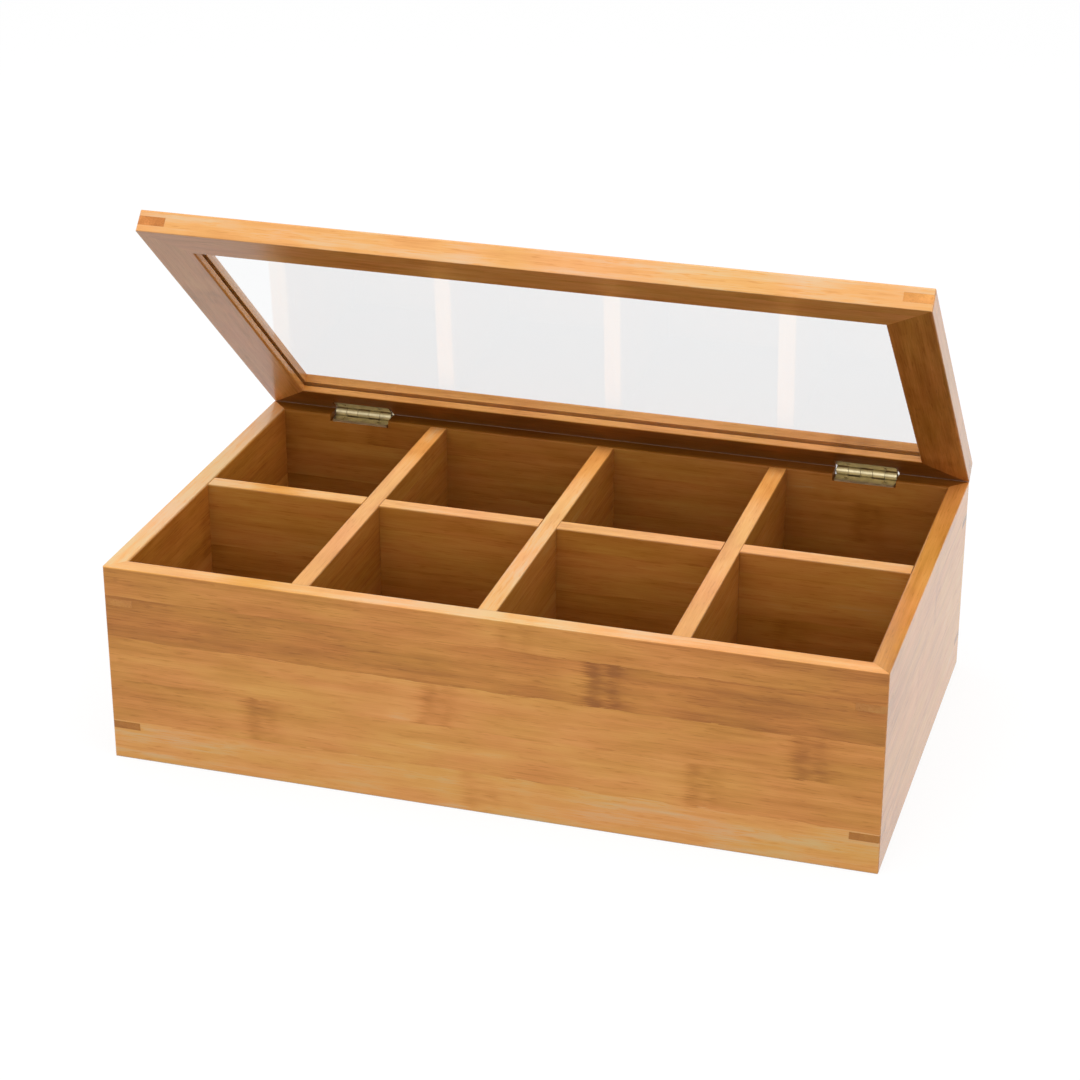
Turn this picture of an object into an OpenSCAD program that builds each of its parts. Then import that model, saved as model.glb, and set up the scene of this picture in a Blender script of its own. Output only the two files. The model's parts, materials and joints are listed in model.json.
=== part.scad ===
// Tea bag box: a bamboo box with eight compartments and a framed lid with a clear pane.
// It stands on z = 0 with its front towards -Y, and the origin is the middle of its base.
// The lid's pieces are drawn shut and then swung up to the angle at which the lid stands open.

/* [Box] */
// Outer width of the box
box_w = 315; // [270:1:360]
// Outer depth of the box
box_d = 183; // [160:1:220]
// Height of the walls
wall_h = 85.8; // [70:0.2:110]
// Thickness of the walls
wall_t = 8; // [7:0.2:10]
// Rounding of the boards' long edges and of the outer corners
edge_r = 0.9; // [0.5:0.1:1.2]

/* [Bottom] */
// Thickness of the bottom panel
bottom_t = 5; // [3:0.5:8]
// How far the rabbet for the panel is cut into each wall
rabbet_w = 4; // [2:0.5:5]
// Gap between the panel's edge and the rabbet
bottom_play = 0.2; // [0.1:0.1:0.5]

/* [Dividers] */
// Thickness of the dividers
divider_t = 7.8; // [5:0.2:9]
// Drop of the dividers' top edges below the wall tops
divider_drop = 0.3; // [0.1:0.1:2]
// Rounding of the dividers' top edges
divider_edge_r = 0.6; // [0.3:0.1:1]
// Gap on each side of a divider in the slot of the divider that it crosses
lap_play = 0.05; // [0.02:0.01:0.1]

/* [Corner keys] */
// Length of a key along each outer face of the box
key_leg = 12; // [9:0.5:14]
// Thickness of a key in the box
key_t = 3.2; // [2:0.2:4]
// Height of the lower key's middle above the base, and depth of the upper one's below the wall top
key_inset = 15.3; // [10:0.1:22]
// Length of a key along each outer face of the lid
lid_key_leg = 11.5; // [9:0.5:14]
// Thickness of a key in the lid
lid_key_t = 3.8; // [2.4:0.2:4.4]
// Thickness of the glue line between a key and each side of its kerf
glue_line = 0.04; // [0.02:0.01:0.1]

/* [Lid] */
// Thickness of the lid
lid_t = 9.4; // [8.4:0.2:12]
// Width of the front and rear rails
long_rail_w = 18; // [16:0.5:24]
// Width of the left and right rails
short_rail_w = 19; // [16:0.5:24]
// Thickness of the clear pane
pane_t = 1.5; // [1:0.1:3]
// Depth of the groove for the pane
groove_depth = 6; // [4:0.5:8]
// Thickness of the lip below the groove
lip_t = 2.8; // [2:0.1:4]
// Gap between the pane's edge and the bottom of its groove
pane_play = 0.5; // [0.2:0.1:1]
// Gap between the pane's upper face and its groove
pane_rattle = 1.1; // [0.1:0.1:1.5]
// Gap between the shut lid and the wall tops
seam_gap = 0.1; // [0.1:0.1:0.6]
// Rounding of the outer edges of the seam, on the walls and on the lid
seam_edge_r = 0.3; // [0.2:0.1:0.5]
// Angle at which the lid stands open
lid_open = 42.7; // [0:0.1:110]

/* [Hinges] */
// Length of a hinge along its pin
hinge_len = 26; // [22:1:32]
// Distance from the box's end to the middle of a hinge
hinge_inset = 43.5; // [35:0.5:55]
// Thickness of the leaves
leaf_t = 1; // [0.8:0.1:1.2]
// Width of a leaf from the middle of the pin
leaf_w = 7.2; // [7:0.1:7.3]
// Rounding of a leaf's free corners
leaf_corner_r = 0.8; // [0.4:0.1:1.5]
// Diameter of the hinge pin
pin_d = 2.3; // [1.8:0.1:2.6]
// Gap between the pin and the knuckles' bore, all round
pin_fit = 0.05; // [0.02:0.01:0.09]
// How far the pin stands out of the knuckles at each end
pin_proud = 0.4; // [0.2:0.1:0.8]
// Gap between neighbouring knuckles
knuckle_gap = 0.2; // [0.1:0.05:0.4]
// Distance from the rear face in to the middle of the pin
pin_in = 0.6; // [0.5:0.1:0.8]
// Gap between the barrel and the wood and leaf beside it
barrel_play = 0.3; // [0.2:0.1:0.5]
// Gap between each end of a pin and its mortise, and in front of a lid leaf
mortise_play = 0.3; // [0.2:0.1:1]
// Width of the slit where a rolled knuckle meets its leaf
roll_slit = 0.15; // [0.1:0.05:0.3]

/* [Screws] */
// Diameter of a screw's head
head_d = 3.4; // [3:0.1:3.6]
// Diameter of a screw's shank
shank_d = 2; // [1.6:0.1:2.4]
// Length of the screws in the box
box_screw_len = 10; // [8:0.5:14]
// Length of the screws in the lid
lid_screw_len = 7; // [5:0.5:7.5]
// Distance from the middle of a hinge to each screw
screw_offset = 8.2; // [7:0.1:9]
// Distance from the rear face to the screws
screw_inset = 5.4; // [5.3:0.1:5.5]
// Gap between a shank and its hole, all round
screw_fit = 0.05; // [0.02:0.01:0.1]
// Width of the arms of the cross recess in a head
recess_w = 0.5; // [0.4:0.1:0.7]
// Length of the arms of the cross recess
recess_len = 2.2; // [1.6:0.1:2.6]
// Depth of the cross recess
recess_depth = 0.6; // [0.4:0.1:0.9]
// Diameter of a screw's blunt tip
tip_d = 0.5; // [0.3:0.1:0.8]
// Length of a screw's tapered point
tip_len = 2; // [1:0.5:3]

/* [Hidden] */
$fn = 48;

// Steps in a quarter round, and a length that carries a cut past the wood
arc_steps = 4;
over = 1;
half = 0.5;
left = -1;
right = 1;
front = -1;
back = 1;

// Box
lower_key_z = key_inset;
upper_key_z = wall_h - key_inset;
divider_top = wall_h - divider_drop;
lap_z = (bottom_t + divider_top) / 2;
cross_count = 3;
inner_w = box_w - 2 * wall_t;
inner_d = box_d - 2 * wall_t;
bay_w = (inner_w - cross_count * divider_t) / (cross_count + 1);

// Lid
lid_z = wall_h + seam_gap;
groove_h = pane_t + pane_rattle;

// Hinges
bore_r = pin_d / 2 + pin_fit;
barrel_r = bore_r + leaf_t;
rear_y = box_d / 2;
hinge_y = rear_y - pin_in;
lid_leaf_top = lid_z + leaf_t;
hinge_z = lid_leaf_top - barrel_r;
notch_z = hinge_z - barrel_r;
mortise_len = hinge_len + 2 * (pin_proud + mortise_play);
plate_w = leaf_w - barrel_r - barrel_play;
knuckle_count = 5;
knuckle_len = (hinge_len - (knuckle_count - 1) * knuckle_gap) / knuckle_count;
box_knuckles = [0, 2, 4];
lid_knuckles = [1, 3];
screw_y = rear_y - screw_inset;
head_depth = (head_d - shank_d) / 2;

// ---- outlines --------------------------------------------------------------------------

function arc(centre, r, from) = [
    for (i = [0 : arc_steps])
        let (a = from + 90 * i / arc_steps)
        centre + r * [cos(a), sin(a)]
];

function round_rect(w, d, r) = concat(
    arc([-w / 2 + r, -d / 2 + r], r, 180),
    arc([w / 2 - r, -d / 2 + r], r, 270),
    arc([w / 2 - r, d / 2 - r], r, 0),
    arc([-w / 2 + r, d / 2 - r], r, 90)
);

// Section of a wall: x runs from the outer face inwards, y runs up
function wall_section() = concat(
    arc([edge_r, edge_r], edge_r, 180),
    [[wall_t - rabbet_w, 0], [wall_t - rabbet_w, bottom_t], [wall_t, bottom_t]],
    arc([wall_t - edge_r, wall_h - edge_r], edge_r, 0),
    arc([seam_edge_r, wall_h - seam_edge_r], seam_edge_r, 90)
);

// Section of a divider: x runs across it, y runs up from the bottom panel
function divider_section() = concat(
    [[-divider_t / 2, bottom_t], [divider_t / 2, bottom_t]],
    arc([divider_t / 2 - divider_edge_r, divider_top - divider_edge_r], divider_edge_r, 0),
    arc([-divider_t / 2 + divider_edge_r, divider_top - divider_edge_r], divider_edge_r, 90)
);

// Section of a lid rail: x runs from the outer edge inwards, y runs up from its underside
function rail_section(w) = concat(
    arc([seam_edge_r, seam_edge_r], seam_edge_r, 180),
    arc([w - edge_r, edge_r], edge_r, 270),
    [[w, lip_t], [w - groove_depth, lip_t]],
    [[w - groove_depth, lip_t + groove_h], [w, lip_t + groove_h]],
    arc([w - edge_r, lid_t - edge_r], edge_r, 0),
    arc([edge_r, lid_t - edge_r], edge_r, 90)
);

// ---- shared solids ---------------------------------------------------------------------

// The whole plan of the box, with its four rounded corners
module plan_block(h) {
    linear_extrude(h) polygon(round_rect(box_w, box_d, edge_r));
}

// Sweeps a section along X, with its x towards +Y and its y up
module sweep_x(len) {
    translate([-len / 2, 0, 0]) rotate([90, 0, 90]) linear_extrude(len) children();
}

// A board along X whose outer face looks to -Y at the distance dist, mitred at both ends.
// width is the board's own width in plan, and end_w is that of the boards that it meets.
module mitred_board(len, dist, width, end_w, h) {
    intersection() {
        translate([0, -dist, 0]) sweep_x(len) children();
        translate([0, -dist, 0]) linear_extrude(h)
            polygon([[-len / 2, 0], [len / 2, 0], [len / 2 - end_w, width], [-len / 2 + end_w, width]]);
    }
}

// Turns a front board to the side that it belongs to
module to_back() { rotate([0, 0, 180]) children(); }
module to_left() { rotate([0, 0, -90]) children(); }
module to_right() { rotate([0, 0, 90]) children(); }

// Moves a shape drawn at the front left corner to the corner at the given sides
module at_corner(side, end) {
    mirror([side > 0 ? 1 : 0, 0, 0]) mirror([0, end > 0 ? 1 : 0, 0])
        translate([-box_w / 2, -box_d / 2, 0]) children();
}

module at_all_corners() {
    for (side = [left, right], end = [front, back]) at_corner(side, end) children();
}

// The saw kerf across a corner, and the key that fills it
module key_kerf(leg, t) {
    translate([0, 0, -t / 2]) linear_extrude(t)
        polygon([[-over, -over], [leg + over, -over], [-over, leg + over]]);
}

module key_slip(leg, t) {
    key_kerf(leg - 2 * glue_line, t - 2 * glue_line);
}

module at_hinges() {
    for (side = [left, right]) translate([side * (box_w / 2 - hinge_inset), 0, 0]) children();
}

module at_screws() {
    for (side = [left, right]) translate([side * screw_offset, screw_y, 0]) children();
}

// The round clearance that the barrel of a hinge turns in
module barrel_cove() {
    translate([-mortise_len / 2, hinge_y, hinge_z]) rotate([0, 90, 0])
        cylinder(r = barrel_r + barrel_play, h = mortise_len);
}

// ---- box -------------------------------------------------------------------------------

module box_kerfs() {
    at_all_corners() for (z = [lower_key_z, upper_key_z]) translate([0, 0, z]) key_kerf(key_leg, key_t);
}

module wall(len, dist) {
    mitred_board(len, dist, wall_t, wall_t, wall_h) polygon(wall_section());
}

module front_wall() {
    color("#C08A4E") difference() {
        intersection() {
            wall(box_w, box_d / 2);
            plan_block(wall_h);
        }
        box_kerfs();
    }
}

module left_wall() {
    color("#C8945A") difference() {
        intersection() {
            to_left() wall(box_d, box_w / 2);
            plan_block(wall_h);
        }
        box_kerfs();
    }
}

module right_wall() {
    color("#D9B58A") difference() {
        intersection() {
            to_right() wall(box_d, box_w / 2);
            plan_block(wall_h);
        }
        box_kerfs();
    }
}

// The back wall is notched through for the folded hinges, and drilled for their screws
module back_wall() {
    color("#B98248") difference() {
        intersection() {
            to_back() wall(box_w, box_d / 2);
            plan_block(wall_h);
        }
        box_kerfs();
        at_hinges() {
            translate([-mortise_len / 2, rear_y - wall_t - over, notch_z])
                cube([mortise_len, wall_t + 2 * over, wall_h - notch_z + over]);
            barrel_cove();
            at_screws() translate([0, 0, notch_z + leaf_t - box_screw_len - over])
                cylinder(r = shank_d / 2 + screw_fit, h = box_screw_len + over);
        }
    }
}

module bottom_panel() {
    w = inner_w + 2 * (rabbet_w - bottom_play);
    d = inner_d + 2 * (rabbet_w - bottom_play);
    color("#C9955A") translate([-w / 2, -d / 2, 0]) cube([w, d, bottom_t]);
}

// Corner keys of the box
module box_key(side, end, z) {
    color("#8A5A2B") intersection() {
        at_corner(side, end) translate([0, 0, z]) key_slip(key_leg, key_t);
        plan_block(wall_h);
    }
}

module key_front_left_lower() { box_key(left, front, lower_key_z); }
module key_front_left_upper() { box_key(left, front, upper_key_z); }
module key_front_right_lower() { box_key(right, front, lower_key_z); }
module key_front_right_upper() { box_key(right, front, upper_key_z); }
module key_back_left_lower() { box_key(left, back, lower_key_z); }
module key_back_left_upper() { box_key(left, back, upper_key_z); }
module key_back_right_lower() { box_key(right, back, lower_key_z); }
module key_back_right_upper() { box_key(right, back, upper_key_z); }

// ---- dividers --------------------------------------------------------------------------

function cross_x(i) = -inner_w / 2 + (i + 1) * bay_w + (i + half) * divider_t;

slot_w = divider_t + 2 * lap_play;

// The long divider is slotted from above, down to the lap height
module long_divider() {
    color("#D8A368") difference() {
        sweep_x(inner_w) polygon(divider_section());
        for (i = [0 : cross_count - 1])
            translate([cross_x(i) - slot_w / 2, -divider_t, lap_z - lap_play])
                cube([slot_w, 2 * divider_t, divider_top]);
    }
}

// A cross divider is slotted from below, up to the lap height
module cross_divider(i) {
    color("#DDAA70") difference() {
        translate([cross_x(i), 0, 0]) rotate([0, 0, 90]) sweep_x(inner_d) polygon(divider_section());
        translate([cross_x(i) - divider_t, -slot_w / 2, 0])
            cube([2 * divider_t, slot_w, lap_z + lap_play]);
    }
}

module cross_divider_left() { cross_divider(0); }
module cross_divider_middle() { cross_divider(1); }
module cross_divider_right() { cross_divider(2); }

// ---- lid, drawn shut and swung open ----------------------------------------------------

module swing_open() {
    translate([0, hinge_y, hinge_z]) rotate([-lid_open, 0, 0]) translate([0, -hinge_y, -hinge_z])
        children();
}

module lid_kerfs() {
    at_all_corners() translate([0, 0, lid_z + lid_t / 2]) key_kerf(lid_key_leg, lid_key_t);
}

module rail(len, dist, w, end_w) {
    translate([0, 0, lid_z]) mitred_board(len, dist, w, end_w, lid_t) polygon(rail_section(w));
}

module lid_block() {
    translate([0, 0, lid_z]) plan_block(lid_t);
}

module lid_front_rail() {
    color("#DDA766") swing_open() difference() {
        intersection() {
            rail(box_w, box_d / 2, long_rail_w, short_rail_w);
            lid_block();
        }
        lid_kerfs();
    }
}

// The rear rail is let in for the lid leaves, and drilled for their screws
module lid_rear_rail() {
    color("#CF9A5E") swing_open() difference() {
        intersection() {
            to_back() rail(box_w, box_d / 2, long_rail_w, short_rail_w);
            lid_block();
        }
        lid_kerfs();
        at_hinges() {
            translate([-mortise_len / 2, hinge_y - leaf_w - mortise_play, lid_z - over])
                cube([mortise_len, leaf_w + mortise_play + over, leaf_t + over]);
            barrel_cove();
            at_screws() translate([0, 0, lid_z])
                cylinder(r = shank_d / 2 + screw_fit, h = lid_screw_len + over);
        }
    }
}

module lid_left_rail() {
    color("#C99A6A") swing_open() difference() {
        intersection() {
            to_left() rail(box_d, box_w / 2, short_rail_w, long_rail_w);
            lid_block();
        }
        lid_kerfs();
    }
}

module lid_right_rail() {
    color("#C0905C") swing_open() difference() {
        intersection() {
            to_right() rail(box_d, box_w / 2, short_rail_w, long_rail_w);
            lid_block();
        }
        lid_kerfs();
    }
}

// The pane lies on the lower side of the groove
module lid_pane() {
    w = box_w - 2 * (short_rail_w - groove_depth + pane_play);
    d = box_d - 2 * (long_rail_w - groove_depth + pane_play);
    color([0.9, 0.95, 0.95, 0.35]) swing_open()
        translate([-w / 2, -d / 2, lid_z + lip_t]) cube([w, d, pane_t]);
}

module lid_key(side, end) {
    color("#9A622C") swing_open() intersection() {
        at_corner(side, end) translate([0, 0, lid_z + lid_t / 2]) key_slip(lid_key_leg, lid_key_t);
        lid_block();
    }
}

module lid_key_front_left() { lid_key(left, front); }
module lid_key_front_right() { lid_key(right, front); }
module lid_key_rear_left() { lid_key(left, back); }
module lid_key_rear_right() { lid_key(right, back); }

// ---- hinges ----------------------------------------------------------------------------

function knuckle_x(i) = -hinge_len / 2 + i * (knuckle_len + knuckle_gap);

// A leaf with its plate below the barrel, drawn with the pin along X through the origin.
// A knuckle is rolled up from a tongue of the plate, and a slit shows where the roll ends.
// The plate's screw holes are countersunk from above.
module leaf(knuckles) {
    difference() {
        union() {
            difference() {
                translate([-hinge_len / 2, -leaf_w, -barrel_r]) cube([hinge_len, plate_w, leaf_t]);
                for (side = [left, right])
                    translate([side * hinge_len / 2, -leaf_w, -barrel_r])
                        mirror([side > 0 ? 1 : 0, 0, 0]) leaf_corner_cut();
            }
            for (i = knuckles) translate([knuckle_x(i), 0, 0]) {
                translate([0, -leaf_w + plate_w / 2, -barrel_r])
                    cube([knuckle_len, leaf_w - plate_w / 2, leaf_t]);
                rotate([0, 90, 0]) cylinder(r = barrel_r, h = knuckle_len);
            }
        }
        translate([-hinge_len, 0, 0]) rotate([0, 90, 0]) cylinder(r = bore_r, h = 2 * hinge_len);
        translate([-hinge_len, -2 * barrel_r, -bore_r])
            cube([2 * hinge_len, 2 * barrel_r - bore_r / 2, roll_slit]);
        for (side = [left, right])
            translate([side * screw_offset, screw_y - hinge_y, -barrel_r]) {
                translate([0, 0, -over]) cylinder(r = shank_d / 2 + screw_fit, h = leaf_t + 2 * over);
                translate([0, 0, leaf_t - head_depth])
                    cylinder(r1 = shank_d / 2 + screw_fit, r2 = head_d / 2 + screw_fit, h = head_depth);
            }
    }
}

// What is cut away to round a leaf's free corner
module leaf_corner_cut() {
    translate([0, 0, -over]) difference() {
        translate([-over, -over, 0]) cube([leaf_corner_r + over, leaf_corner_r + over, leaf_t + 2 * over]);
        translate([leaf_corner_r, leaf_corner_r, -over])
            cylinder(r = leaf_corner_r, h = leaf_t + 4 * over);
    }
}

module box_leaf(side) {
    color("#C9B06A") translate([side * (box_w / 2 - hinge_inset), hinge_y, hinge_z]) leaf(box_knuckles);
}

module lid_leaf(side) {
    color("#D2BC7C") swing_open() translate([side * (box_w / 2 - hinge_inset), hinge_y, hinge_z])
        mirror([0, 0, 1]) leaf(lid_knuckles);
}

module hinge_pin(side) {
    len = hinge_len + 2 * pin_proud;
    color("#B8A05C") translate([side * (box_w / 2 - hinge_inset) - len / 2, hinge_y, hinge_z])
        rotate([0, 90, 0]) {
            cylinder(d1 = pin_d - pin_proud, d2 = pin_d, h = pin_proud);
            translate([0, 0, pin_proud]) cylinder(d = pin_d, h = hinge_len);
            translate([0, 0, len - pin_proud]) cylinder(d1 = pin_d, d2 = pin_d - pin_proud, h = pin_proud);
        }
}

module left_hinge_box_leaf() { box_leaf(left); }
module left_hinge_lid_leaf() { lid_leaf(left); }
module left_hinge_pin() { hinge_pin(left); }
module right_hinge_box_leaf() { box_leaf(right); }
module right_hinge_lid_leaf() { lid_leaf(right); }
module right_hinge_pin() { hinge_pin(right); }

// A countersunk screw with its head's face at z = 0 and its point down
module screw(len) {
    difference() {
        union() {
            translate([0, 0, -head_depth]) cylinder(d1 = shank_d, d2 = head_d, h = head_depth);
            translate([0, 0, tip_len - len]) cylinder(d = shank_d, h = len - tip_len - head_depth);
            translate([0, 0, -len]) cylinder(d1 = tip_d, d2 = shank_d, h = tip_len);
        }
        for (a = [0, 90])
            rotate([0, 0, a]) translate([-recess_len / 2, -recess_w / 2, -recess_depth])
                cube([recess_len, recess_w, recess_depth + over]);
    }
}

module box_hinge_screws() {
    color("#BDA765") at_hinges() at_screws() translate([0, 0, notch_z + leaf_t]) screw(box_screw_len);
}

module lid_hinge_screws() {
    color("#BDA765") swing_open() at_hinges() at_screws()
        translate([0, 0, lid_z]) mirror([0, 0, 1]) screw(lid_screw_len);
}

// ---- drawn pieces ----------------------------------------------------------------------

front_wall();
back_wall();
left_wall();
right_wall();
bottom_panel();
long_divider();
cross_divider_left();
cross_divider_middle();
cross_divider_right();
key_front_left_lower();
key_front_left_upper();
key_front_right_lower();
key_front_right_upper();
key_back_left_lower();
key_back_left_upper();
key_back_right_lower();
key_back_right_upper();
lid_front_rail();
lid_rear_rail();
lid_left_rail();
lid_right_rail();
lid_pane();
lid_key_front_left();
lid_key_front_right();
lid_key_rear_left();
lid_key_rear_right();
left_hinge_box_leaf();
left_hinge_lid_leaf();
left_hinge_pin();
right_hinge_box_leaf();
right_hinge_lid_leaf();
right_hinge_pin();
box_hinge_screws();
lid_hinge_screws();
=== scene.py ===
"""The looks of the bamboo tea bag box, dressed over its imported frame."""
import json
import math
import random

import bpy
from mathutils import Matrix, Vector


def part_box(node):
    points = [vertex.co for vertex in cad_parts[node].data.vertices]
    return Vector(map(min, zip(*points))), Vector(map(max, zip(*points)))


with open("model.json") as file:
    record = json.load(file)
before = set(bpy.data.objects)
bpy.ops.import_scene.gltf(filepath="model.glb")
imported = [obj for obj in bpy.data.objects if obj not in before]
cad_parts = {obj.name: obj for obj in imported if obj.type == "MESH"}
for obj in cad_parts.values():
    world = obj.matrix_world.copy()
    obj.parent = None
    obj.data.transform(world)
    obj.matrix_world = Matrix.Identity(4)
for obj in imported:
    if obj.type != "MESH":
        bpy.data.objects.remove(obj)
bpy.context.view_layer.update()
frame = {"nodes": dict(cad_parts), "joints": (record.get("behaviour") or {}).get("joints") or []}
nodes = frame["nodes"]

MM = 0.001
X, Y, Z = Vector((1, 0, 0)), Vector((0, 1, 0)), Vector((0, 0, 1))

# ---- camera ------------------------------------------------------------------------------

CAMERA_AT = Vector((0.3006, -0.9989, 0.5605))
CAMERA_AZIMUTH = 16.97
CAMERA_ELEVATION = 24.82
CAMERA_LENS = 93.4


def make_camera():
    data = bpy.data.cameras.new("camera")
    data.lens = CAMERA_LENS
    data.sensor_width = 36
    data.clip_end = 50
    camera = bpy.data.objects.new("camera", data)
    camera.location = CAMERA_AT
    camera.rotation_euler = (
        math.radians(90 - CAMERA_ELEVATION), 0, math.radians(CAMERA_AZIMUTH)
    )
    bpy.context.scene.collection.objects.link(camera)
    bpy.context.scene.camera = camera


# ---- shader graphs -----------------------------------------------------------------------

class Graph:
    """Wires shader nodes. A value given for a socket may be another node's output."""

    def __init__(self, tree):
        self.tree = tree

    def put(self, socket, value):
        if isinstance(value, bpy.types.NodeSocket):
            self.tree.links.new(value, socket)
        else:
            socket.default_value = value

    def node(self, kind, values=None, **settings):
        made = self.tree.nodes.new(kind)
        for name, value in settings.items():
            setattr(made, name, value)
        for name, value in (values or {}).items():
            self.put(made.inputs[name], value)
        return made

    def math(self, operation, *values):
        made = self.node("ShaderNodeMath", operation=operation)
        for socket, value in zip(made.inputs, values):
            self.put(socket, value)
        return made.outputs[0]

    def vector(self, operation, *values):
        made = self.node("ShaderNodeVectorMath", operation=operation)
        for socket, value in zip(made.inputs, values):
            self.put(socket, value)
        return made.outputs["Value" if operation == "DOT_PRODUCT" else "Vector"]

    def combine(self, x, y, z):
        return self.node("ShaderNodeCombineXYZ", {"X": x, "Y": y, "Z": z}).outputs[0]

    def noise(self, vector, detail):
        made = self.node("ShaderNodeTexNoise", {
            "Vector": vector, "Scale": 1.0, "Detail": detail, "Roughness": 0.5,
        })
        return made.outputs[0]

    def clouds(self, detail, *places):
        """Noise. Each place may come with the size that a cloud has that way."""
        scaled = [
            self.math("DIVIDE", *place) if isinstance(place, tuple) else place for place in places
        ]
        return self.noise(self.combine(*scaled), detail)

    def remap(self, value, low, high, to_low=0.0, to_high=1.0):
        made = self.node("ShaderNodeMapRange", {
            "Value": value, "From Min": low, "From Max": high,
            "To Min": to_low, "To Max": to_high,
        }, interpolation_type="SMOOTHSTEP")
        return made.outputs[0]

    def mix(self, factor, a, b, blend="MIX"):
        made = self.node("ShaderNodeMix", data_type="RGBA", blend_type=blend)
        self.put(made.inputs["Factor"], factor)
        self.put(made.inputs[6], a)
        self.put(made.inputs[7], b)
        return made.outputs[2]


def new_material(name):
    material = bpy.data.materials.new(name)
    material.use_nodes = True
    material.node_tree.nodes.clear()
    return material, Graph(material.node_tree)


def surface(graph, shader):
    output = graph.node("ShaderNodeOutputMaterial")
    graph.put(output.inputs["Surface"], shader)


# ---- bamboo ------------------------------------------------------------------------------

LID_JOINT = frame["joints"][0]
LID_SHUT = math.radians(LID_JOINT["range_deg"][0])
LID_BODY = LID_JOINT["child"]
BOX_BODY = "box"

# Millimetres: a strip, how far its fibres reach over into the next, half the box and a wall
STRIP_W = 18.6
FRAY = 3.0
HALF_LENGTH = 157.5
WALL_T = 8.0
# How much lacquer a board has
COAT = 0.8
BOTTOM_COAT = 0.3
# Colours of the wood from the palest to the scar of a knot, by darkness
DARKEST = 1.3
TONES = (
    (0.0, (0.82, 0.51, 0.225)), (0.25, (0.87, 0.41, 0.100)),
    (0.5, (0.78, 0.330, 0.070)), (0.75, (0.65, 0.257, 0.041)),
    (1.0, (0.50, 0.180, 0.022)), (DARKEST, (0.37, 0.122, 0.010)),
)
# Colour drifts over the boards between these two
GREENISH = (0.98, 1.01, 0.89, 1)
RUDDY = (1.03, 0.96, 1.03, 1)
# Painted shade: what the wood's colour is multiplied by on the inner faces of the box, where they
# lie in the shade of the bays; darkest on the back wall's, under the lid, and least on the left
# wall's, painted lighter where the light from the right falls on it
INNER_PAINTED_SHADE = (0.54, 0.485, 0.36)
BACK_INNER_PAINTED_SHADE = (0.44, 0.39, 0.305)
LEFT_INNER_PAINTED_SHADE = (0.70, 0.62, 0.46)
# The painted shade of the seam on the underside of the rear rail, and that face's height with the
# lid shut
SEAM_PAINTED_SHADE = (0.40, 0.34, 0.23)
LID_UNDER = 85.9

# Knots, in millimetres: the least distance between two, what a gap of 1 adds to it, how far one
# leans along the grain and how far its rim frays
KNOT_PITCH = 140.0
KNOT_MORE = 260.0
KNOT_LEAN = 6.0
KNOT_FRAY = 9.0
# Where a knot's parts lie along the grain and how wide they are: two scars, haze, and a pale halo
FIRST_SCAR = (0.0, 3.0)
SECOND_SCAR = (8.5, 3.0)
HAZE = (4.0, 9.0)
HALO = (-8.0, 6.0)
# What sets the clouds of one strip apart from the next one's
KNOT_SHIFT = 5.3
STRIP_SHIFT = 37.0


def board_space(graph, body, along, across):
    """Millimetres along the grain, across it and through the board, with the lid shut."""
    place = graph.node("ShaderNodeTexCoord").outputs["Object"]
    if body == LID_BODY:
        turned = graph.node("ShaderNodeVectorRotate", {
            "Vector": place, "Center": LID_JOINT["pos_m"], "Axis": LID_JOINT["axis"],
            "Angle": LID_SHUT,
        }, rotation_type="AXIS_ANGLE")
        place = turned.outputs[0]
    place = graph.vector("MULTIPLY", place, (1 / MM, 1 / MM, 1 / MM))
    axes = (along, across, along.cross(across))
    return [graph.vector("DOT_PRODUCT", place, tuple(axis)) for axis in axes]


def ramp(graph, place, stops, interpolation="LINEAR"):
    made = graph.node("ShaderNodeValToRGB")
    colours = made.color_ramp
    colours.interpolation = interpolation
    while len(colours.elements) < len(stops):
        colours.elements.new(0.5)
    for element, (position, colour) in zip(colours.elements, stops):
        element.position = position
        element.color = colour
    graph.put(made.inputs[0], place)
    return made.outputs


def by_strip(graph, strip, rows):
    """Three facts about a strip, picked by its number."""
    place = graph.math("DIVIDE", graph.math("ADD", strip, 0.5), float(len(rows)))
    stops = [(i / len(rows), (*row, 1)) for i, row in enumerate(rows)]
    picked = ramp(graph, place, stops, "CONSTANT")["Color"]
    return graph.node("ShaderNodeSeparateColor", {"Color": picked}).outputs[:3]


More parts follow.
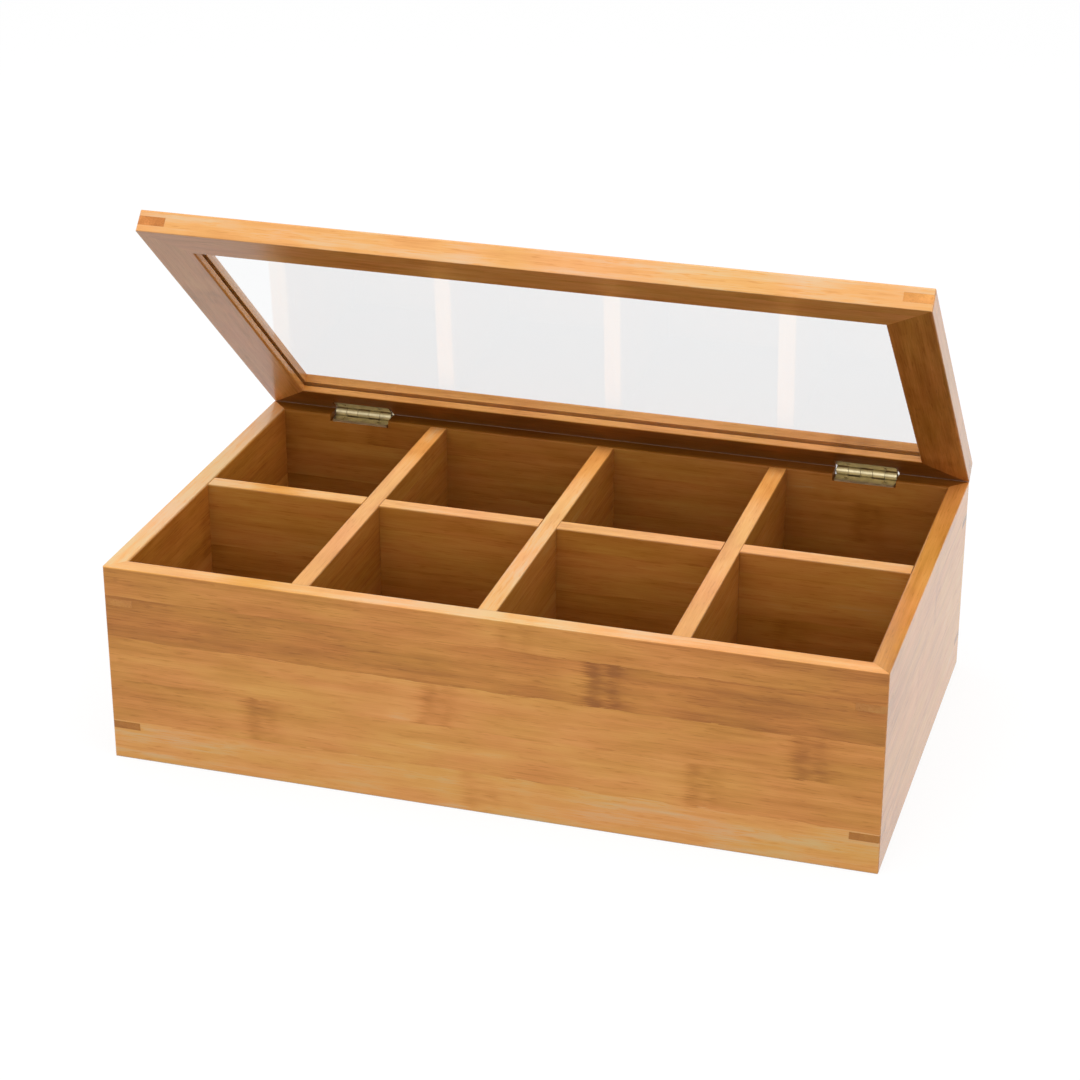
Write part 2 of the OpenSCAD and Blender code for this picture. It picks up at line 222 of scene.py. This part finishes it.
def knots(g, u, v, strip, knot_at, gap, fine):
    """How dark and how pale the knots make a strip. A knot is two soft, broken scars."""
    shift = g.math("MULTIPLY", strip, KNOT_SHIFT)
    pitch = g.math("MULTIPLY_ADD", gap, KNOT_MORE, KNOT_PITCH)
    place = g.math("MULTIPLY", g.math("SUBTRACT", knot_at, 0.5), 2 * HALF_LENGTH)
    half = g.math("MULTIPLY", pitch, 0.5)
    away = g.math("WRAP", g.math("SUBTRACT", u, place), half, g.math("MULTIPLY", half, -1.0))
    lean = g.clouds(1.0, (v, 9.0), (u, 90.0), shift)
    for part, reach in ((lean, KNOT_LEAN), (fine, KNOT_FRAY)):
        away = g.math("MULTIPLY_ADD", g.math("SUBTRACT", part, 0.5), reach, away)

    def band(middle, width):
        offset = g.math("DIVIDE", g.math("SUBTRACT", away, middle), width)
        return g.math("EXPONENT", g.math("MULTIPLY", g.math("MULTIPLY", offset, offset), -1.0))

    def broken(part, across, least, seed):
        """A band with gaps in it, where least of it is left."""
        cloud = g.clouds(3.0, (u, 9.0), (v, across), g.math("ADD", shift, seed))
        return g.math("MULTIPLY", band(*part), g.remap(cloud, 0.30, 0.68, least, 1.0))

    dark = broken(FIRST_SCAR, 7.0, 0.55, 0.0)
    for part, amount in (
        (broken(SECOND_SCAR, 7.0, 0.30, 3.0), 0.65), (broken(HAZE, 1.6, 0.0, 7.0), 0.7),
    ):
        dark = g.math("MULTIPLY_ADD", part, amount, dark)
    return dark, band(*HALO)


def bamboo(name, body, along, across, first, strips,
           shade=(1, 1, 1), edge=None, inside=None, coat=COAT, bare=False):
    """Lacquered bamboo. first is where strip 0 starts across the board, in millimetres.
    edge is how far out the narrow face lies, and how much paler it is painted: painted light
    on the rims, and painted shade where the amount is negative. inside is the plane that depth
    is measured from, the depths where a painted shade of the inner faces and the seam starts
    and is full, and that shade's colour. A bare board has no lacquer there."""
    material, g = new_material(name)
    u, v, w = board_space(g, body, along, across)
    frayed = g.clouds(2.0, (u, 14.0), (v, 0.7), (w, 0.7))
    order = g.math("SUBTRACT", v, first)
    order = g.math("MULTIPLY_ADD", g.math("SUBTRACT", frayed, 0.5), FRAY, order)
    order = g.math("DIVIDE", order, STRIP_W)
    strip = g.math("FLOOR", order)
    tones = by_strip(g, strip, [row[:3] for row in strips])
    knot_at, gap, strength = by_strip(g, strip, [row[3:] for row in strips])
    shift = g.math("MULTIPLY", strip, STRIP_SHIFT)
    warmth = g.remap(g.clouds(2.0, shift, (u, 55.0), (v, 13.0)), 0.3, 0.7)

    def fibres(length, width, detail, seed=0.0):
        along_them = g.math("ADD", g.math("DIVIDE", u, length), g.math("ADD", shift, seed))
        return g.clouds(detail, along_them, (v, width), (w, width))

    fine = fibres(16.0, 0.5, 3.0)
    broad = fibres(75.0, 3.2, 3.0)
    cloud = fibres(26.0, 8.0, 2.0)
    dashes = g.remap(fibres(7.0, 0.6, 1.0, 11.0), 0.58, 0.74)
    scar, halo = knots(g, u, v, strip, knot_at, gap, fine)

    # The glue line between two strips, where it shows
    off_middle = g.math("ABSOLUTE", g.math("SUBTRACT", g.math("FRACT", order), 0.5))
    glue = g.math("MULTIPLY", g.remap(off_middle, 0.46, 0.5), g.remap(broad, 0.40, 0.62))

    dark = tones[1]
    for end, tone in ((-HALF_LENGTH, tones[0]), (HALF_LENGTH, tones[2])):
        change = g.math("SUBTRACT", tone, tones[1])
        dark = g.math("MULTIPLY_ADD", change, g.remap(u, 0.0, end), dark)
    for part, amount in ((broad, 0.75), (cloud, 0.60), (fine, 0.45)):
        dark = g.math("MULTIPLY_ADD", g.math("SUBTRACT", part, 0.5), amount, dark)
    # Painted light on the rims: the narrow face is paler, and darker as painted shade where the
    # amount is negative
    if edge:
        rim_light_mask = g.remap(g.math("ABSOLUTE", v), edge[0] - 0.7, edge[0] - 0.15)
        dark = g.math("MULTIPLY_ADD", rim_light_mask, -edge[1], dark)
    knotty = g.math("MULTIPLY", scar, strength)
    pale = g.math("MULTIPLY", halo, strength)
    for part, amount in ((dashes, 0.20), (glue, 0.14), (knotty, 0.48), (pale, -0.16)):
        dark = g.math("MULTIPLY_ADD", part, amount, dark)

    stops = [(at / DARKEST, (*colour, 1)) for at, colour in TONES]
    wood = ramp(g, g.math("DIVIDE", dark, DARKEST), stops)["Color"]
    tinted = g.mix(1.0, wood, g.mix(warmth, GREENISH, RUDDY), "MULTIPLY")
    colour = g.mix(1.0, tinted, (*shade, 1), "MULTIPLY")
    # Painted shade on the inner faces and in the seam
    if inside:
        middle, start, end, inner_painted_shade = inside
        inner = g.remap(g.math("ABSOLUTE", g.math("SUBTRACT", w, middle)), start, end)
        colour = g.mix(inner, colour, g.mix(1.0, colour, (*inner_painted_shade, 1), "MULTIPLY"))
        if bare:
            coat = g.math("MULTIPLY_ADD", inner, -coat, coat)

    rough = g.remap(fine, 0.3, 0.7, 0.40, 0.50)
    height = g.math("MULTIPLY_ADD", knotty, -0.4, g.math("MULTIPLY", fine, 0.6))
    bump = g.node("ShaderNodeBump", {"Height": height, "Strength": 0.25, "Distance": 0.00012})
    shader = g.node("ShaderNodeBsdfPrincipled", {
        "Base Color": colour, "Roughness": rough, "Normal": bump.outputs[0],
        "IOR": 1.5, "Specular IOR Level": 0.1,
        "Coat Weight": coat, "Coat Roughness": 0.2, "Coat IOR": 1.5,
    })
    surface(g, shader.outputs[0])
    return material


def some_strips(name, count=6):
    """Strips for a board that shows none in particular, the same ones for the same name."""
    draw = random.Random(name)
    rows = []
    for _ in range(count):
        tones = [draw.uniform(0.35, 0.75) for _ in range(3)]
        rows.append((*tones, draw.random(), draw.random(), draw.choice((0.0, 0.3, 0.45))))
    return rows


def dress(node, material):
    mesh = nodes[node].data
    mesh.materials.clear()
    mesh.materials.append(material)


# The front wall's strips from the bottom up: darkness at the left, in the middle and at the
# right, and the knots' place, spacing and strength
FRONT_STRIPS = (
    (0.24, 0.22, 0.24, 0.486, 1.0, 0.4), (0.60, 0.40, 0.60, 0.196, 0.157, 0.52),
    (0.58, 0.40, 0.68, 0.428, 0.032, 0.55), (0.88, 0.74, 0.90, 0.641, 1.0, 1.0),
    (0.76, 0.62, 0.86, 0.531, 1.0, 0.3),
)
# The right wall's, with the darkness at the front, in the middle and at the rear; paler towards
# the rear, a painted reflection on that face, over the grain's own tones and knots
RIGHT_STRIPS_AND_REFLECTION = (
    (0.80, 0.46, 0.14, 0.30, 0.6, 0.3), (0.90, 0.54, 0.22, 0.62, 0.4, 0.0),
    (0.82, 0.48, 0.12, 0.44, 0.8, 0.3), (0.92, 0.56, 0.24, 0.55, 0.5, 0.45),
    (0.84, 0.50, 0.20, 0.38, 0.7, 0.0),
)
# Where strip 0 starts: up the walls and the dividers, and over the bottom and the lid
WALL_FIRST = -1.1
DIVIDER_FIRST = 2.0
BOTTOM_FIRST = -100.0
LID_FIRST = -160.3
BOTTOM_STRIPS = 12
LID_STRIPS = 18
KEY_STRIPS = 5

# How far out from a wall's inner face that face's painted shade reaches, and half the width of
# its end.
# It takes in the back wall's top, painted dark for the shade of the seam.
INNER_DEPTH = 0.5
BACK_DEPTH = WALL_T - 0.35
INNER_END = 0.3
# Which way each wall runs, how much paler its rim is painted (painted light, and painted shade
# where it is negative), its strips, and its inner face's painted shade
WALLS = {
    "front_wall": (X, 0.50, FRONT_STRIPS, INNER_PAINTED_SHADE, INNER_DEPTH),
    "back_wall": (X, -0.30, None, BACK_INNER_PAINTED_SHADE, BACK_DEPTH),
    "left_wall": (Y, 0.62, None, LEFT_INNER_PAINTED_SHADE, INNER_DEPTH),
    "right_wall": (Y, -0.17, RIGHT_STRIPS_AND_REFLECTION, INNER_PAINTED_SHADE, INNER_DEPTH),
}
DIVIDERS = {
    "long_divider": X, "cross_divider_left": Y, "cross_divider_middle": Y,
    "cross_divider_right": Y,
}
# How much paler the dividers' tops are painted than their sides, and the lid's rim than its
# faces: painted light on the rims
DIVIDER_RIM_LIGHT = 0.18
LID_RIM_LIGHT = 0.32
# What the wood's colour is multiplied by in the lid: a little darker, a painted shade that tones
# down the light on the lid's front edge, and bluer
LID_PAINTED_SHADE_AND_TINT = (0.92, 0.95, 1.15)
# Which way each rail runs, where its width lies, and its darkness from left to right or from
# front to back; the right rail's darkness is a painted shade on the lid's right side
RAILS = {
    "lid_front_rail": (X, Y, (0.60, 0.48, 0.52)), "lid_rear_rail": (X, Y, (0.60, 0.60, 0.70)),
    "lid_left_rail": (Y, X, (0.50, 0.50, 0.50)), "lid_right_rail": (Y, X, (0.95, 0.90, 0.85)),
}
# A plane so far above the rail that only its underside has the depth of an inner face
FAR_PLANE = 200.0


def high(node, axis):
    """The highest place of a node along an axis, in millimetres."""
    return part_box(node)[1][axis] / MM


def low(node, axis):
    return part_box(node)[0][axis] / MM


def depth_axis(along):
    """The axis that runs through a wall or a divider."""
    return 1 if along is X else 0


def dress_box():
    for node, (along, rim_light, strips, inner, depth) in WALLS.items():
        axis = depth_axis(along)
        face = max(abs(high(node, axis)), abs(low(node, axis))) - WALL_T
        dress(node, bamboo(
            node + "_bamboo", BOX_BODY, along, Z, WALL_FIRST, strips or some_strips(node),
            edge=(high("front_wall", 2), rim_light),
            inside=(0.0, face + depth + INNER_END, face + depth - INNER_END, inner),
            bare=node == "back_wall"))
    # The bottom panel is darkened all over with the inner faces' painted shade
    dress("bottom_panel", bamboo(
        "bottom_panel_bamboo", BOX_BODY, X, Y, BOTTOM_FIRST,
        some_strips("bottom", BOTTOM_STRIPS), shade=INNER_PAINTED_SHADE, coat=BOTTOM_COAT))
    # The dividers' sides carry the inner faces' painted shade, and their tops are painted lighter
    for node, along in DIVIDERS.items():
        axis = depth_axis(along)
        half = (high(node, axis) - low(node, axis)) / 2
        middle = low(node, axis) + half
        # Through a board that runs along X means along -Y
        dress(node, bamboo(
            node + "_bamboo", BOX_BODY, along, Z, DIVIDER_FIRST, some_strips(node),
            edge=(high(node, 2), DIVIDER_RIM_LIGHT),
            inside=(-middle if axis else middle, half - 0.5, half - 0.1, INNER_PAINTED_SHADE)))


def dress_lid():
    for node, (along, across, tones) in RAILS.items():
        strips = [(*tones, *row[3:]) for row in some_strips(node, LID_STRIPS)]
        outer = high("front_wall", 0) if across is X else -low("front_wall", 1)
        rear = node == "lid_rear_rail"
        # The rear rail's underside is painted dark, the shade of the seam
        under = (LID_UNDER + FAR_PLANE, FAR_PLANE - 0.5, FAR_PLANE - 0.1, SEAM_PAINTED_SHADE)
        dress(node, bamboo(
            node + "_bamboo", LID_BODY, along, across, LID_FIRST, strips, shade=LID_PAINTED_SHADE_AND_TINT,
            edge=(outer, LID_RIM_LIGHT), inside=under if rear else None, bare=rear))


# What the wood's colour is multiplied by in the corner keys
KEY_SHADE = (0.62, 0.55, 0.45)
KEY_SHADES = {
    "key_front_left_lower": (0.68, 0.59, 0.36), "key_front_right_lower": (0.66, 0.57, 0.34),
    "key_front_left_upper": (0.80, 0.77, 0.68), "key_front_right_upper": (0.68, 0.64, 0.50),
    "key_back_right_upper": (0.42, 0.44, 0.40), "lid_key_front_left": (0.84, 0.76, 0.66),
    "lid_key_front_right": (1.0, 1.0, 1.0),
}


def dress_keys():
    for name in nodes:
        if "key_" not in name:
            continue
        body = LID_BODY if name.startswith("lid") else BOX_BODY
        turn = -1 if ("left" in name) == ("front" in name) else 1
        along = Vector((1, turn, 0)).normalized()
        dress(name, bamboo(
            name + "_bamboo", body, along, Z, 0.0, some_strips(name, KEY_STRIPS),
            shade=KEY_SHADES.get(name, KEY_SHADE)))


# ---- brass and glass ---------------------------------------------------------------------

LEAF_BRASS = (0.62, 0.53, 0.32)
SCREW_BRASS = (0.60, 0.50, 0.29)
BRASS_ROUGHNESS = 0.36
# What tarnish makes of the brass's colour, and the most of it that a spot has
DULLING = 0.72
MOST_TARNISH = 0.6
# Clouds and scratches to the metre
TARNISH_SCALE = (400, 400, 400)
SCRATCH_SCALE = (300, 6000, 6000)

# Less than glass bends light, so that the pane's reflections stay as faint as the photo's
PANE_IOR = 1.16
PANE_COLOUR = (0.93, 0.935, 0.94, 1)
PANE_SHADOW = (0.93, 0.94, 0.94, 1)


def brass(name, colour):
    material, g = new_material(name)
    place = g.node("ShaderNodeTexCoord").outputs["Object"]
    cloud = g.noise(g.vector("MULTIPLY", place, TARNISH_SCALE), 3.0)
    scratch = g.noise(g.vector("MULTIPLY", place, SCRATCH_SCALE), 2.0)
    tarnish = g.math("MULTIPLY", g.remap(cloud, 0.35, 0.7), MOST_TARNISH)
    dull = (*(DULLING * c for c in colour), 1)
    shader = g.node("ShaderNodeBsdfPrincipled", {
        "Base Color": g.mix(tarnish, (*colour, 1), dull),
        "Roughness": g.math("ADD", g.math("MULTIPLY", scratch, 0.14), BRASS_ROUGHNESS),
        "Metallic": 1.0,
    })
    surface(g, shader.outputs[0])
    return material


def clear_glass():
    material, g = new_material("clear_pane")
    glass = g.node("ShaderNodeBsdfPrincipled", {
        "Base Color": PANE_COLOUR, "Roughness": 0.0, "IOR": PANE_IOR, "Transmission Weight": 1.0,
    })
    through = g.node("ShaderNodeBsdfTransparent", {"Color": PANE_SHADOW})
    rays = g.node("ShaderNodeLightPath")
    mixed = g.node("ShaderNodeMixShader", {0: rays.outputs["Is Shadow Ray"]})
    g.put(mixed.inputs[1], glass.outputs[0])
    g.put(mixed.inputs[2], through.outputs[0])
    surface(g, mixed.outputs[0])
    return material


def dress_metal_and_glass():
    leaf = brass("brass", LEAF_BRASS)
    screw = brass("brass_screw", SCREW_BRASS)
    for name in nodes:
        if "hinge" in name:
            dress(name, screw if "screws" in name else leaf)
    dress("lid_pane", clear_glass())


# ---- studio ------------------------------------------------------------------------------

# The world's light on the part. Seen itself, it is white.
SKY = 0.65
# The floor glows nearly white where it is seen, and matt paint over that keeps the shadow
FLOOR_GLOW = 0.86
FLOOR_SEEN = (0.16, 0.16, 0.16, 1)
FLOOR_LIT = (0.20, 0.20, 0.20, 1)
FLOOR_SIZE = 12.0
# Each lamp's name, place, size and power
LAMPS = (
    ("overhead", (0.1, 0.0, 1.6), 1.2, 8.0), ("front", (0.0, -1.5, 0.8), 1.0, 6.1),
    ("left", (-1.5, -0.4, 0.9), 1.0, 4.5), ("right", (1.5, -0.3, 0.9), 1.0, 5.2),
)


def seen_directly(g):
    """1 for the rays that show the background: to the eye, in a reflection or through glass."""
    rays = g.node("ShaderNodeLightPath").outputs
    either = g.math("MAXIMUM", rays["Is Camera Ray"], rays["Is Glossy Ray"])
    either = g.math("MAXIMUM", either, rays["Is Transmission Ray"])
    return g.math("MULTIPLY", either, g.math("LESS_THAN", rays["Diffuse Depth"], 0.5))


def make_world():
    world = bpy.data.worlds.new("studio")
    world.use_nodes = True
    world.node_tree.nodes.clear()
    world.cycles.sampling_method = "NONE"
    g = Graph(world.node_tree)
    level = g.remap(seen_directly(g), 0.0, 1.0, SKY, 1.0)
    background = g.node("ShaderNodeBackground", {"Color": (1, 1, 1, 1), "Strength": level})
    g.put(g.node("ShaderNodeOutputWorld").inputs["Surface"], background.outputs[0])
    bpy.context.scene.world = world


def make_floor():
    mesh = bpy.data.meshes.new("floor")
    r = FLOOR_SIZE / 2
    mesh.from_pydata([(-r, -r, 0), (r, -r, 0), (r, r, 0), (-r, r, 0)], [], [(0, 1, 2, 3)])
    floor = bpy.data.objects.new("floor", mesh)
    bpy.context.scene.collection.objects.link(floor)
    material, g = new_material("floor")
    seen = seen_directly(g)
    tint = g.mix(seen, FLOOR_LIT, FLOOR_SEEN)
    matt = g.node("ShaderNodeBsdfDiffuse", {"Color": tint})
    glow = g.node("ShaderNodeEmission", {
        "Color": (1, 1, 1, 1), "Strength": g.math("MULTIPLY", seen, FLOOR_GLOW),
    })
    both = g.node("ShaderNodeAddShader")
    g.put(both.inputs[0], matt.outputs[0])
    g.put(both.inputs[1], glow.outputs[0])
    surface(g, both.outputs[0])
    mesh.materials.append(material)


def make_lamp(name, at, size, power):
    data = bpy.data.lights.new(name, "AREA")
    data.shape = "SQUARE"
    data.size = size
    data.energy = power
    lamp = bpy.data.objects.new(name, data)
    lamp.location = at
    lamp.rotation_euler = (-Vector(at)).to_track_quat("-Z", "Y").to_euler()
    bpy.context.scene.collection.objects.link(lamp)


def make_studio():
    make_world()
    make_floor()
    for lamp in LAMPS:
        make_lamp(*lamp)
    bpy.context.scene.view_settings.view_transform = "Standard"


make_camera()
make_studio()
dress_box()
dress_lid()
dress_keys()
dress_metal_and_glass()
